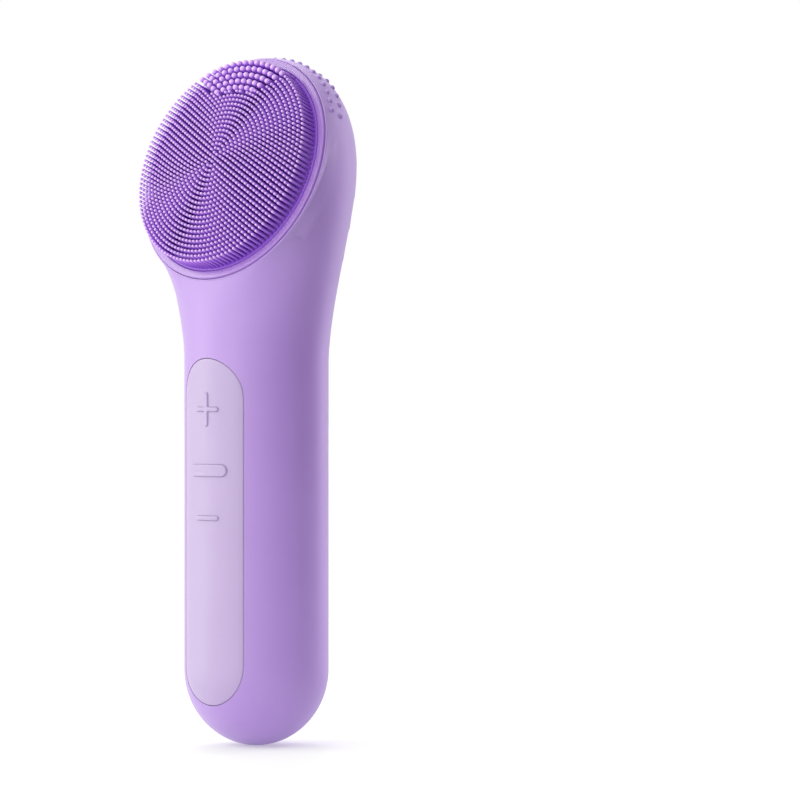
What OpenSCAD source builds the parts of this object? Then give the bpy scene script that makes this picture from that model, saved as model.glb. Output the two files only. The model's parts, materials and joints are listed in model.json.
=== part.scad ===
// Facial cleansing brush: a round silicone-covered handle that widens into a tilted
// brush head, with three push keys in front and a mirror-bright charging plate behind.
// The handle's axis is Z, the brush faces -Y, and the origin is the middle of the grip.

/* [Handle] */
// Radius of the round handle
handle_r = 17.2; // [17:0.1:21]
// Height of the straight handle above the tip of its round end
handle_h = 92; // [90:0.1:112]
// Thickness of the silicone sleeve
sleeve_t = 1.8; // [1.6:0.1:2.2]
// Thickness of the two hard shells inside the sleeve
shell_t = 1.5; // [1.2:0.1:2]
// Height of the middle of the grip above the tip
grip_z = 55; // [45:1:65]

/* [Head] */
// Radius of the head's rim
rim_r = 28.4; // [24:0.1:35]
// Backward lean of the brush face
face_tilt = 19.5; // [12:0.5:25]
// Rise of the brush face's centre above the straight handle
face_rise = 45; // [44:0.5:56]
// Distance of the brush face's centre in front of the handle's axis
face_fwd = 7.8; // [5:0.1:10]
// How far the head's back stands behind the handle's back
back_bulge = 1; // [0:0.1:2]
// Width of the rim's lip, from its outer edge in to the mouth
lip_t = 0.85; // [0.7:0.05:1.2]

/* [Brush] */
// Width of the ring round the brush pad
ring_w = 1.3; // [1:0.1:2]
// How far the ring stands out of the rim
ring_proud = 0.9; // [0.4:0.1:1.4]
// Thickness of the brush pad's base
pad_t = 2.9; // [2:0.1:4]
// Height of the base's front above the rim
pad_proud = 0.7; // [0.2:0.1:1]
// Length of the bristles at the brush's edge
bristle_h = 4.6; // [3:0.1:6]
// How much longer the bristles are in the middle of the brush
bristle_crown = 2.6; // [0:0.1:3]
// Distance from one ring of bristles to the next
bristle_pitch = 1.15; // [1:0.05:1.5]
// Width of the solid rib that stands for one ring of bristles
rib_w = 0.36; // [0.3:0.02:0.6]
// Thickness of the plate that carries the pad
carrier_t = 2; // [1.5:0.1:3]
// Thickness of the flat seal behind the carrier
seal_t = 0.8; // [0.5:0.1:1.2]

/* [Keys and panel] */
// Width of the keypad panel
panel_w = 18.7; // [16:0.1:20]
// Height of the panel's lower end above the tip
panel_z0 = 10.2; // [10:0.1:14]
// Groove round the panel and round the plate
groove = 0.2; // [0.1:0.05:0.3]
// Height of the plus key below the panel's upper end
plus_drop = 12; // [10:0.1:14]
// Height of the power key below the panel's upper end
power_drop = 26.4; // [24:0.1:28]
// Height of the minus key below the panel's upper end
minus_drop = 37.6; // [35:0.1:40]
// Width of the plus sign and of the minus sign
sign_w = 7.2; // [5:0.1:9]
// Height of the plus sign
plus_h = 8; // [6:0.1:9]
// Width of a sign's stroke
stroke = 1.1; // [0.9:0.1:1.6]
// Width of the power key's bar
power_w = 11.6; // [9:0.1:13]
// Height of the power key's bar
power_h = 2.9; // [2:0.1:4]
// How far the keys stand out of the panel
key_proud = 0.35; // [0.2:0.05:0.5]
// Gap round a key in the panel
key_gap = 0.15; // [0.1:0.05:0.3]
// Radius of a plunger's stem
stem_r = 1.6; // [1.2:0.1:2]
// Travel of a key
key_travel = 0.3; // [0.2:0.05:0.4]

/* [Charging plate] */
// Thickness of the bright plate
plate_t = 0.8; // [0.6:0.1:1]
// Height of the plate above its lower end
plate_len = 57.1; // [54:0.1:64]
// Height of the plate's lower end above the tip
plate_z0 = 10.3; // [10:0.1:14]
// Height of the upper contact above the plate's lower end
contact_up = 49.4; // [44:0.1:52]
// Distance between the two contacts
contact_pitch = 5.1; // [4:0.1:6]
// Radius of the recess over each contact
recess_r = 1.4; // [1.2:0.05:1.6]
// Radius of a contact pin
contact_r = 1.2; // [1:0.05:1.3]
// Radius of a holding magnet
magnet_r = 2.5; // [2:0.1:3]
// Thickness of a holding magnet
magnet_t = 1.6; // [1:0.1:1.8]

/* [Power and board] */
// Radius of the battery cell
cell_r = 7; // [6.5:0.1:7.2]
// Length of the battery cell
cell_len = 49; // [44:0.1:50]
// Height of the cell's lower end above the tip
cell_z0 = 22; // [21:0.1:24]
// Thickness of the circuit board
board_t = 1; // [0.8:0.1:1.6]
// Height of the board's lower end above the tip
board_z0 = 16; // [15:0.1:18]
// Depth of the board's front below the shell's inner face
board_drop = 4.3; // [4:0.1:5]
// Height of a switch above the board
switch_h = 1.5; // [1.2:0.1:1.6]

/* [Motor] */
// Radius of the motor's can
motor_r = 6; // [5:0.1:7.2]
// Length of the motor's can
motor_len = 18; // [15:0.1:22]
// Height of the can's lower end below the straight handle's top
motor_drop = 7; // [5:0.1:8]
// Radius of the motor's shaft
shaft_r = 0.75; // [0.5:0.05:1]
// Radius of the eccentric weight
weight_r = 5; // [4:0.1:6.5]
// Length of the eccentric weight
weight_len = 7; // [5:0.1:9]

/* [Fits] */
// Gap between pieces that are fixed together
fit = 0.1; // [0.05:0.01:0.2]
// Gap between pieces that lie face to face
face_gap = 0.05; // [0.02:0.01:0.1]
// Gap round a piece that moves freely
free = 0.3; // [0.2:0.05:0.4]
// Radial clearance of the shaft in its bearings
running = 0.05; // [0.02:0.01:0.1]

/* [Hidden] */
$fn = 64;

// Colours
lavender = [0.70, 0.58, 0.86];
panel_lilac = [0.80, 0.72, 0.91];
ring_lilac = [0.72, 0.58, 0.90];
violet = [0.45, 0.22, 0.72];
shell_white = [0.90, 0.89, 0.92];
board_green = [0.08, 0.35, 0.20];
steel = [0.72, 0.73, 0.75];
bright = [0.88, 0.88, 0.90];
gold = [0.83, 0.66, 0.30];
copper = [0.72, 0.43, 0.25];
dark = [0.12, 0.12, 0.13];
wrap_blue = [0.16, 0.38, 0.62];

// Layers of the wall, as depths below the outer surface
shell_out = sleeve_t + fit;
shell_in = shell_out + shell_t;
bore_r = handle_r - shell_in;
far = 200;
over = 1;
snug = 0.02;

// The brush face, its rim and the line of the head's back
face_z = handle_h + face_rise;
rim_top_y = rim_r * sin(face_tilt) - face_fwd;
back_y = handle_r + back_bulge;
crest_back = 1.3;
shoulder_drop = 1;
shoulder_t = 0.557;
back_fullness = 0.045;
front_taper = 0.22;
waist_fullness = 0.008;
fullness_lean = 1.15;
taper_lean = 1.4;
taper_fall = 1.5;
bend_power = 3;
head_rings = 16;
head_sides = 40;
root_sink = 2;
root_step = 0.05;
head_z0 = handle_h - 0.5;

// Brush stack, as heights above the rim along the face's normal
mouth_r = rim_r - lip_t;
ring_out_r = mouth_r - fit;
pad_r = ring_out_r - ring_w - face_gap;
pad_back = pad_proud - pad_t;
carrier_back = pad_back - face_gap - carrier_t;
mouth_floor = carrier_back - face_gap;
seal_back = carrier_back - face_gap - seal_t;
shell_edge = seal_back - face_gap;
bristle_edge = 0.5;
ribs = floor((pad_r - bristle_edge) / bristle_pitch);

// Keys
panel_z1 = handle_h;
plus_z = panel_z1 - plus_drop;
power_z = panel_z1 - power_drop;
minus_z = panel_z1 - minus_drop;
key_zs = [plus_z, power_z, minus_z];
key_root = handle_r - shell_out + free + key_travel;
flange_lip = 0.8;
flange_r = stem_r + flange_lip;
stem_end = sqrt(pow(bore_r, 2) - pow(flange_r, 2)) - free;
flange_t = 1;
tip_r = 1.2;
board_front = bore_r - board_drop;
board_back = board_front - board_t;
actuator_r = 0.9;
actuator_proud = 0.7;
actuator_sunk = 0.4;
actuator_top = board_front + switch_h + actuator_proud;
actuator_root = board_front + switch_h - actuator_sunk;
switch_w = 6;
switch_tall = 4;
window_depth = 8;

// Screw bosses that join the shells
boss_r = 2.3;
boss_inset = 3;
boss_low_z = 20;
boss_drop = 12;
boss_x = bore_r - boss_inset;
boss_zs = [boss_low_z, handle_h - boss_drop];
screw_r = 1;
screw_head_r = 1.7;
screw_head_t = 1.2;
screw_seat = 7.5;
screw_grip = 6;

// Board
board_top_drop = 4;
board_side_gap = 0.5;
board_boss_rise = 5;
board_boss_drop = 9;
board_boss_r = 2;
board_screw_r = 0.8;
board_screw_reach = 2.2;
board_screw_head_r = 1.5;
board_screw_head_t = 1;
board_z1 = handle_h - board_top_drop;
board_w = 2 * (boss_x - boss_r - board_side_gap);
board_boss_zs = [board_z0 + board_boss_rise, minus_z - board_boss_drop];

// Controller, charger and coil on the back of the board
chip_x = 2.5;
chip_t = 1;
controller_w = 5;
charger_w = 4;
coil_w = 3;
controller_z = minus_z - 3;
charger_z = minus_z + 8;
coil_z = board_z0 + 12;

// Charging side
contact_z1 = plate_z0 + contact_up;
contact_zs = [contact_z1 - contact_pitch, contact_z1];
contact_mid_z = contact_z1 - contact_pitch / 2;
contact_pcb_t = 0.8;
contact_pcb_depth = 2.5;
contact_pcb_y = bore_r - contact_pcb_depth;
contact_pcb_w = 8;
contact_pcb_h = 11;
contact_face = handle_r - plate_t - face_gap;
contact_collar = 0.6;
contact_collar_r = contact_r + contact_collar;
magnet_space = 0.4;
magnet_off = contact_pcb_h / 2 + magnet_r + magnet_space;
gasket_inset = 0.5;

// Battery
cell_gap = 0.8;
cell_y = contact_pcb_y - cell_gap - cell_r;
cell_z1 = cell_z0 + cell_len;
tab_w = 5;
tab_t = 0.2;
foam_inset = 2;

// Motor
motor_z0 = handle_h - motor_drop;
motor_z1 = motor_z0 + motor_len;
can_t = 0.4;
end_cap_t = 1.6;
cap_spigot = 0.8;
magnet_arc_t = 1.1;
cap_floor = 0.3;
magnet_short = 7;
magnet_rise = 4;
magnet_split = 4;
magnet_len = motor_len - magnet_short;
magnet_z0 = motor_z0 + magnet_rise;
air_gap = 0.45;
armature_short = 1;
armature_slot_r = 0.9;
armature_r = motor_r - can_t - magnet_arc_t - face_gap - air_gap;
armature_len = magnet_len - 2 * armature_short;
armature_z0 = magnet_z0 + armature_short;
commutator_r = 1.6;
commutator_len = 2.4;
brush_w = 1.4;
brush_t = 1;
brush_tall = 2;
brush_gap = 0.2;
weight_gap = 2;
hub_wall = 1.2;
shaft_past = 0.6;
shaft_z0 = motor_z0 - end_cap_t + cap_floor + fit;
weight_z0 = motor_z1 + weight_gap;
shaft_z1 = weight_z0 + weight_len + shaft_past;
sleeve_wall = 1.2;
sleeve_inset = 1.5;
sleeve_len = motor_len - 2 * sleeve_inset;
rib_t = 2;
rib_inset = 3.5;
motor_rib_zs = [motor_z0 + rib_inset, motor_z1 - rib_inset - rib_t];

// Leads
lead_r = 0.45;
lead_sides = 10;
lead_bend = 1;
lead_side_gap = 1.6;
lead_edge = 1.5;
motor_lead_x = 3;
motor_lead_y = 2;

// ---------------------------------------------------------------- shape of the body

function ease(t) = let (c = min(1, max(0, t))) c * c * (3 - 2 * c);

// Point on the inner bend of the head, under the brush, at t from neck to rim
function inner_point(t, depth) =
    let (low_y = -face_fwd - (rim_r - depth) * sin(face_tilt),
         low_z = face_z - (rim_r - depth) * cos(face_tilt),
         neck_y = -(handle_r - depth - root_step))
    [neck_y + (low_y - neck_y) * pow(t, bend_power), head_z0 + (low_z - head_z0) * t];

// Point on the back and crest of the head, at t from neck to rim
function outer_point(t, depth) =
    let (neck_y = handle_r - depth - root_step,
         wall_y = back_y - depth,
         top_y = -face_fwd + (rim_r - depth) * sin(face_tilt),
         top_z = face_z + (rim_r - depth) * cos(face_tilt),
         mid_y = rim_top_y + crest_back,
         mid_z = face_z - shoulder_drop,
         turn = acos((top_y - mid_y) / (wall_y - mid_y)),
         rise = (top_z - mid_z) / sin(turn),
         a = turn * (t - shoulder_t) / (1 - shoulder_t))
    t < shoulder_t
        ? [neck_y + (wall_y - neck_y) * ease(t / shoulder_t), head_z0 + (mid_z - head_z0) * t / shoulder_t]
        : [mid_y + (wall_y - mid_y) * cos(a), mid_z + rise * sin(a)];

// One closed section of the head, fanned from level at the neck to the brush face
function head_section(t, depth) =
    let (a = inner_point(t, depth),
         b = outer_point(t, depth),
         mid = (a + b) / 2,
         half = (b - a) / 2,
         neck_w = handle_r - depth - root_step,
         w = (neck_w + (rim_r - depth - neck_w) * ease((mid[1] - head_z0) / face_rise))
             * (1 + waist_fullness * sin(180 * t)),
         fullness = back_fullness * sin(180 * pow(t, fullness_lean)),
         taper = front_taper * sin(180 * pow(t, taper_lean)))
    [for (k = [0 : head_sides - 1])
        let (s = 360 * k / head_sides,
             back = (1 + cos(s)) / 2,
             f = fullness * back,
             x = (sin(s) + f * (sin(3 * s) + sin(s))) * (1 - taper * pow(1 - back, taper_fall)),
             c = cos(s) - f * (cos(3 * s) - cos(s)))
        [w * x, mid[0] + half[0] * c, mid[1] + half[1] * c]];

// Ring sunk into the handle, so that the head and the handle join cleanly
function root_section(depth) =
    [for (k = [0 : head_sides - 1])
        let (s = 360 * k / head_sides, r = handle_r - depth - root_sink / 2)
        [r * sin(s), r * cos(s), handle_h - root_sink]];

function head_points(depth) = concat(
    root_section(depth),
    [for (i = [0 : head_rings], p = head_section(i / head_rings, depth)) p],
    [[0, 0, handle_h - root_sink], [0, -face_fwd, face_z]]);

function head_faces() =
    let (n = head_sides, last = head_rings + 1, foot = n * (last + 1), tip = foot + 1)
    concat(
        [for (i = [0 : last - 1], k = [0 : n - 1])
            [i * n + k, i * n + (k + 1) % n, (i + 1) * n + k]],
        [for (i = [0 : last - 1], k = [0 : n - 1])
            [(i + 1) * n + k, i * n + (k + 1) % n, (i + 1) * n + (k + 1) % n]],
        [for (k = [0 : n - 1]) [foot, (k + 1) % n, k]],
        [for (k = [0 : n - 1]) [tip, last * n + k, last * n + (k + 1) % n]]);

// Every solid is built above the tip of the handle and then moved to the grip's middle
module from_tip() {
    translate([0, 0, -grip_z]) children();
}

// Frame of the brush face: z out of the face, y up along it
module at_face(height = 0) {
    translate([0, -face_fwd, face_z]) rotate([90 - face_tilt, 0, 0]) translate([0, 0, height]) children();
}

module handle_form(depth) {
    translate([0, 0, handle_r]) sphere(r = handle_r - depth);
    translate([0, 0, handle_r]) cylinder(r = handle_r - depth, h = handle_h - handle_r);
}

module body_form(depth) {
    handle_form(depth);
    polyhedron(points = head_points(depth), faces = head_faces(), convexity = 4);
}

// Prism through the front wall, between two distances from the axis
module front_prism(y0, y1) {
    rotate([90, 0, 0]) translate([0, 0, y0]) linear_extrude(y1 - y0) children();
}

// The same through the back wall
module back_prism(y0, y1) {
    rotate([90, 0, 180]) translate([0, 0, y0]) linear_extrude(y1 - y0) children();
}

// Upright stadium outline from z0 to z1
module stadium(w, z0, z1) {
    translate([-w / 2, z0 + w / 2]) square([w, z1 - z0 - w]);
    for (z = [z0 + w / 2, z1 - w / 2]) translate([0, z]) circle(d = w);
}

// Lying bar with round ends
module bar(w, h) {
    square([w - h, h], center = true);
    for (s = [-1, 1]) translate([s * (w - h) / 2, 0]) circle(d = h);
}

// Pin or hole along Y, from y0 to y1
module y_rod(r, y0, y1) {
    translate([0, y0, 0]) rotate([-90, 0, 0]) cylinder(r = r, h = y1 - y0);
}

function unit(v) = v / norm(v);

// Direction of a route at its point i
function heading(route, i) =
    unit(route[min(i + 1, len(route) - 1)] - route[max(i - 1, 0)]);

// Wire swept along a flat route; across is a direction square to the route's plane
module lead(route, across) {
    n = lead_sides;
    last = len(route) - 1;
    points = [for (i = [0 : last]) let (up = cross(heading(route, i), across))
        for (k = [0 : n - 1]) route[i] + lead_r * (cos(360 * k / n) * across + sin(360 * k / n) * up)];
    sides = [for (i = [0 : last - 1], k = [0 : n - 1])
        for (f = [[i * n + k, (i + 1) * n + k, i * n + (k + 1) % n],
                  [i * n + (k + 1) % n, (i + 1) * n + k, (i + 1) * n + (k + 1) % n]]) f];
    ends = [[for (k = [0 : n - 1]) k], [for (k = [n - 1 : -1 : 0]) last * n + k]];
    polyhedron(points = points, faces = concat(sides, ends), convexity = 4);
}

// ---------------------------------------------------------------- sleeve, ring and brush

module silicone_body() {
    color(lavender) from_tip() difference() {
        body_form(0);
        body_form(sleeve_t);
        at_face(mouth_floor) cylinder(r = mouth_r, h = far);
        front_prism(window_depth, far)
            stadium(panel_w + 2 * groove, panel_z0 - groove, panel_z1 + groove);
        back_prism(window_depth, far)
            stadium(panel_w + 2 * groove, plate_z0 - groove, plate_z0 + plate_len + groove);
    }
}

module head_ring() {
    color(ring_lilac) from_tip() at_face() rotate_extrude()
        translate([ring_out_r - ring_w, pad_back]) square([ring_w, ring_proud - pad_back]);
}

// Height of rib i above the brush pad's base
function rib_h(i) = bristle_h + bristle_crown * (1 - pow(i * bristle_pitch / pad_r, 2));

// The rings of bristles stand as thin closed ribs of about the same volume
module brush_pad() {
    color(violet) from_tip() at_face() {
        translate([0, 0, pad_back]) cylinder(r = pad_r, h = pad_t);
        for (i = [1 : ribs]) rotate_extrude()
            translate([i * bristle_pitch - rib_w / 2, pad_proud - pad_t / 2])
                square([rib_w, pad_t / 2 + rib_h(i)]);
    }
}

module pad_carrier() {
    color(shell_white) from_tip() at_face(carrier_back) cylinder(r = mouth_r - fit, h = carrier_t);
}

// Flat rubber ring between the carrier and the edges of the shells
module head_seal() {
    color(dark) from_tip() difference() {
        intersection() {
            body_form(shell_out);
            at_face(seal_back) cylinder(r = 2 * rim_r, h = seal_t);
        }
        body_form(shell_in);
    }
}

// ---------------------------------------------------------------- hard shells

// One half of the hard shell: side is -1 in front and 1 behind
module shell_half(side) {
    difference() {
        body_form(shell_out);
        body_form(shell_in);
        at_face(shell_edge) cylinder(r = far, h = far);
        half_space(-side);
    }
}

// Everything in front of the split plane, or behind it
module half_space(side) {
    y = side > 0 ? -face_gap / 2 : -far + face_gap / 2;
    translate([-far / 2, y, -far / 2]) cube([far, far, 2 * far]);
}

// Level rib across one half, open round the motor's sleeve
module motor_rib(side, z) {
    difference() {
        translate([0, 0, z]) cylinder(r = bore_r + shell_t / 2, h = rib_t);
        translate([0, 0, z - over])
            cylinder(r = motor_r + face_gap + sleeve_wall + fit, h = rib_t + 2 * over);
        half_space(-side);
    }
}

module boss(side, r, y0, y1) {
    for (x = [-boss_x, boss_x], z = boss_zs) translate([x, 0, z])
        if (side < 0) y_rod(r, -y1, -y0);
        else y_rod(r, y0, y1);
}

module housing_front() {
    color(shell_white) from_tip() difference() {
        union() {
            shell_half(-1);
            for (z = motor_rib_zs) motor_rib(-1, z);
            intersection() {
                handle_form(shell_out + shell_t / 2);
                union() {
                    boss(-1, boss_r, face_gap / 2, far / 4);
                    for (z = board_boss_zs) translate([0, 0, z])
                        y_rod(board_boss_r, -far / 4, -board_front - face_gap);
                }
            }
        }
        for (z = key_zs) translate([0, 0, z]) y_rod(stem_r + free, -far / 4, -board_front);
        boss(-1, screw_r + face_gap, -over, screw_grip + free);
        for (z = board_boss_zs) translate([0, 0, z])
            y_rod(board_screw_r + face_gap, -board_front - board_screw_reach - free, -board_front + over);
    }
}

module housing_back() {
    color(shell_white) from_tip() difference() {
        union() {
            shell_half(1);
            for (z = motor_rib_zs) motor_rib(1, z);
            intersection() {
                handle_form(shell_out + shell_t / 2);
                boss(1, boss_r, face_gap / 2, far / 4);
            }
        }
        boss(1, screw_r + face_gap, -over, far / 4);
        boss(1, screw_head_r + fit, screw_seat, far / 4);
        for (z = contact_zs) translate([0, 0, z]) y_rod(contact_r + fit, 0, far / 4);
    }
}

module housing_screws() {
    color(steel) from_tip() {
        boss(1, screw_head_r, screw_seat + face_gap, screw_seat + screw_head_t);
        for (x = [-boss_x, boss_x], z = boss_zs)
            translate([x, 0, z]) y_rod(screw_r, -screw_grip, screw_seat + screw_head_t / 2);
    }
}

// ---------------------------------------------------------------- keypad

module key_symbol(kind, grow) {
    if (kind == "power") bar(power_w + 2 * grow, power_h + 2 * grow);
    else bar(sign_w + 2 * grow, stroke + 2 * grow);
    if (kind == "plus") rotate(90) bar(plus_h + 2 * grow, stroke + 2 * grow);
}

module keypad_panel() {
    color(panel_lilac) from_tip() difference() {
        intersection() {
            difference() {
                handle_form(0);
                handle_form(sleeve_t);
            }
            front_prism(window_depth, far) stadium(panel_w, panel_z0, panel_z1);
        }
        front_prism(window_depth, far) translate([0, plus_z]) key_symbol("plus", key_gap);
        front_prism(window_depth, far) translate([0, power_z]) key_symbol("power", key_gap);
        front_prism(window_depth, far) translate([0, minus_z]) key_symbol("minus", key_gap);
        for (z = key_zs) translate([0, 0, z]) y_rod(stem_r + free, -key_root - fit, 0);
    }
}

// Raised sign, its top curved like the panel
module key_cap(kind, z) {
    color(panel_lilac) from_tip() intersection() {
        front_prism(key_root, far) translate([0, z]) key_symbol(kind, 0);
        cylinder(r = handle_r + key_proud, h = handle_h);
    }
}

module plunger(z) {
    color(shell_white) from_tip() translate([0, 0, z]) {
        y_rod(stem_r, -key_root + face_gap, -stem_end + flange_t / 2);
        y_rod(flange_r, -stem_end, -stem_end + flange_t);
        y_rod(tip_r, -stem_end + flange_t / 2, -actuator_top - face_gap);
    }
}

module actuator(z) {
    color(dark) from_tip() translate([0, 0, z]) y_rod(actuator_r, -actuator_top, -actuator_root);
}

module plus_key() key_cap("plus", plus_z);
module power_key() key_cap("power", power_z);
module minus_key() key_cap("minus", minus_z);
module plus_plunger() plunger(plus_z);
module power_plunger() plunger(power_z);
module minus_plunger() plunger(minus_z);
module plus_actuator() actuator(plus_z);
module power_actuator() actuator(power_z);
module minus_actuator() actuator(minus_z);

// ---------------------------------------------------------------- board

module main_board() {
    color(board_green) from_tip() difference() {
        translate([-board_w / 2, -board_front, board_z0]) cube([board_w, board_t, board_z1 - board_z0]);
        for (z = board_boss_zs) translate([0, 0, z]) y_rod(board_screw_r + fit, -far / 4, 0);
    }
}

module board_screws() {
    color(steel) from_tip() for (z = board_boss_zs) translate([0, 0, z]) {
        y_rod(board_screw_r, -board_front - board_screw_reach, -board_back + board_screw_head_t / 2);
        y_rod(board_screw_head_r, -board_back + face_gap, -board_back + board_screw_head_t);
    }
}

module tact_switches() {
    color(steel) from_tip() for (z = key_zs) translate([0, 0, z]) difference() {
        translate([-switch_w / 2, -board_front - switch_h, -switch_tall / 2])
            cube([switch_w, switch_h - face_gap, switch_tall]);
        y_rod(actuator_r + free, -far / 4, -actuator_root + key_travel + free);
    }
}

module chip(x, z, w) {
    translate([x, -board_back + face_gap + chip_t / 2, z]) cube([w, chip_t, w], center = true);
}

module board_components() {
    color(dark) from_tip() {
        chip(-chip_x, controller_z, controller_w);
        chip(chip_x, charger_z, charger_w);
        chip(-chip_x, coil_z, coil_w);
    }
}

// ---------------------------------------------------------------- battery

module battery_cell() {
    color(wrap_blue) from_tip() translate([0, cell_y, cell_z0]) cylinder(r = cell_r, h = cell_len);
}

module battery_tabs() {
    color(steel) from_tip() for (z = [cell_z0 - face_gap - tab_t, cell_z1 + face_gap])
        translate([-tab_w / 2, cell_y - cell_r, z]) cube([tab_w, cell_r + tab_w / 2, tab_t]);
}

// Foam strip between the cell and the back shell, below the contact board
module battery_pad() {
    foam_z0 = cell_z0 + foam_inset;
    foam_z1 = contact_mid_z - magnet_off - magnet_r - foam_inset / 2;
    color(dark) from_tip() difference() {
        intersection() {
            handle_form(shell_in + face_gap);
            translate([-tab_w, cell_y, foam_z0]) cube([2 * tab_w, far, foam_z1 - foam_z0]);
        }
        translate([0, cell_y, 0]) cylinder(r = cell_r + face_gap, h = far);
    }
}

// From the ends of the cell forward to the board
module battery_leads() {
    off_cell = tab_t + 2 * face_gap + lead_r;
    bend_y = cell_y - cell_r - lead_bend;
    color("crimson") from_tip() for (s = [-1, 1])
        let (z = s < 0 ? cell_z0 - off_cell : cell_z1 + off_cell)
        lead([[tab_w / 2, cell_y, z],
              [tab_w / 2, bend_y, z],
              [tab_w / 2, -board_back + lead_bend, z + s * lead_bend],
              [tab_w / 2, -board_back + face_gap, z + s * lead_bend]], [1, 0, 0]);
}

// ---------------------------------------------------------------- motor

module motor_can() {
    color(steel) from_tip() translate([0, 0, motor_z0]) difference() {
        cylinder(r = motor_r, h = motor_len);
        translate([0, 0, -over]) cylinder(r = motor_r - can_t, h = motor_len - can_t + over);
        cylinder(r = shaft_r + running, h = far);
    }
}

module motor_end_cap() {
    color(dark) from_tip() translate([0, 0, motor_z0 - end_cap_t]) difference() {
        union() {
            cylinder(r = motor_r, h = end_cap_t - face_gap);
            cylinder(r = motor_r - can_t - face_gap, h = end_cap_t + cap_spigot);
        }
        translate([0, 0, cap_floor]) cylinder(r = shaft_r + running, h = far);
    }
}

module motor_magnets() {
    r = motor_r - can_t - face_gap;
    color(steel) from_tip() translate([0, 0, magnet_z0]) difference() {
        cylinder(r = r, h = magnet_len);
        translate([0, 0, -over]) cylinder(r = r - magnet_arc_t, h = magnet_len + 2 * over);
        translate([-far / 2, -magnet_split / 2, -over]) cube([far, magnet_split, magnet_len + 2 * over]);
    }
}

module motor_brushes() {
    color(copper) from_tip() for (s = [-1, 1])
        translate([s * (commutator_r + brush_gap + brush_w / 2), 0,
                   motor_z0 + cap_spigot + face_gap + brush_tall / 2])
            cube([brush_w, brush_t, brush_tall], center = true);
}

// Bore of a piece that sits on the shaft
module shaft_bore(h) {
    translate([0, 0, -over]) cylinder(r = shaft_r + snug, h = h + 2 * over);
}

// Three-pole iron core
module motor_armature() {
    color(copper) from_tip() translate([0, 0, armature_z0]) difference() {
        cylinder(r = armature_r, h = armature_len);
        for (a = [0, 120, 240]) rotate(a) translate([armature_r, 0, -over])
            cylinder(r = armature_slot_r, h = armature_len + 2 * over);
        shaft_bore(armature_len);
    }
}

module motor_commutator() {
    color(gold) from_tip() translate([0, 0, motor_z0 + cap_spigot + free]) difference() {
        cylinder(r = commutator_r, h = commutator_len);
        shaft_bore(commutator_len);
    }
}

module motor_shaft() {
    color(bright) from_tip() translate([0, 0, shaft_z0]) cylinder(r = shaft_r, h = shaft_z1 - shaft_z0);
}

// Half disc on the shaft that shakes the head as it turns
module eccentric_weight() {
    color(gold) from_tip() translate([0, 0, weight_z0]) difference() {
        union() {
            cylinder(r = shaft_r + hub_wall, h = weight_len);
            intersection() {
                cylinder(r = weight_r, h = weight_len);
                translate([-far / 2, 0, 0]) cube([far, far, weight_len]);
            }
        }
        shaft_bore(weight_len);
    }
}

module motor_sleeve() {
    color(dark) from_tip() translate([0, 0, motor_z0 + sleeve_inset]) difference() {
        cylinder(r = motor_r + face_gap + sleeve_wall, h = sleeve_len);
        translate([0, 0, -over]) cylinder(r = motor_r + face_gap, h = sleeve_len + 2 * over);
    }
}

module motor_leads() {
    z = motor_z0 - end_cap_t - lead_r - face_gap;
    color("crimson") from_tip() for (s = [-1, 1])
        lead([[s * motor_lead_x, -motor_lead_y, z],
              [s * motor_lead_x, -board_back + 3 * lead_bend, z],
              [s * motor_lead_x, -board_back + lead_bend, z - 2 * lead_bend],
              [s * motor_lead_x, -board_back + face_gap, z - 2 * lead_bend]], [1, 0, 0]);
}

// ---------------------------------------------------------------- charging side

module mirror_plate() {
    color(bright) from_tip() difference() {
        intersection() {
            difference() {
                handle_form(0);
                handle_form(plate_t);
            }
            back_prism(window_depth, far) stadium(panel_w, plate_z0, plate_z0 + plate_len);
        }
        for (z = contact_zs) translate([0, 0, z]) y_rod(recess_r, 0, far / 4);
    }
}

module plate_gasket() {
    color(dark) from_tip() difference() {
        intersection() {
            difference() {
                handle_form(plate_t + face_gap);
                handle_form(sleeve_t);
            }
            back_prism(window_depth, far)
                stadium(panel_w - 2 * gasket_inset, plate_z0 + gasket_inset,
                        plate_z0 + plate_len - gasket_inset);
        }
        for (z = contact_zs) translate([0, 0, z]) y_rod(contact_collar_r + fit, 0, far / 4);
    }
}

module charging_contacts() {
    color(gold) from_tip() for (z = contact_zs) translate([0, 0, z]) {
        y_rod(contact_r, contact_pcb_y + contact_pcb_t + face_gap, contact_face);
        y_rod(contact_collar_r, handle_r - sleeve_t + face_gap, contact_face - face_gap);
    }
}

module contact_board() {
    color(board_green) from_tip()
        translate([-contact_pcb_w / 2, contact_pcb_y, contact_mid_z - contact_pcb_h / 2])
        cube([contact_pcb_w, contact_pcb_t, contact_pcb_h]);
}

module charging_magnets() {
    color(steel) from_tip() for (s = [-1, 1]) translate([0, 0, contact_mid_z + s * magnet_off])
        y_rod(magnet_r, contact_pcb_y, contact_pcb_y + magnet_t);
}

// Two wires from the contact board, round one side of the cell, to the main board
module charging_leads() {
    side_x = cell_r + lead_side_gap;
    board_x = board_w / 2 - lead_edge;
    color("crimson") from_tip() for (z = contact_zs)
        lead([[contact_pcb_w / 2 + lead_r, contact_pcb_y + contact_pcb_t / 2, z],
              [cell_r, contact_pcb_y - lead_bend, z],
              [side_x, cell_y + cell_r / 2, z],
              [side_x, cell_y - cell_r / 4, z],
              [side_x - lead_bend, -board_back + 2 * lead_bend, z],
              [board_x, -board_back + lead_bend, z],
              [board_x, -board_back + face_gap, z]], [0, 0, 1]);
}

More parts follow.
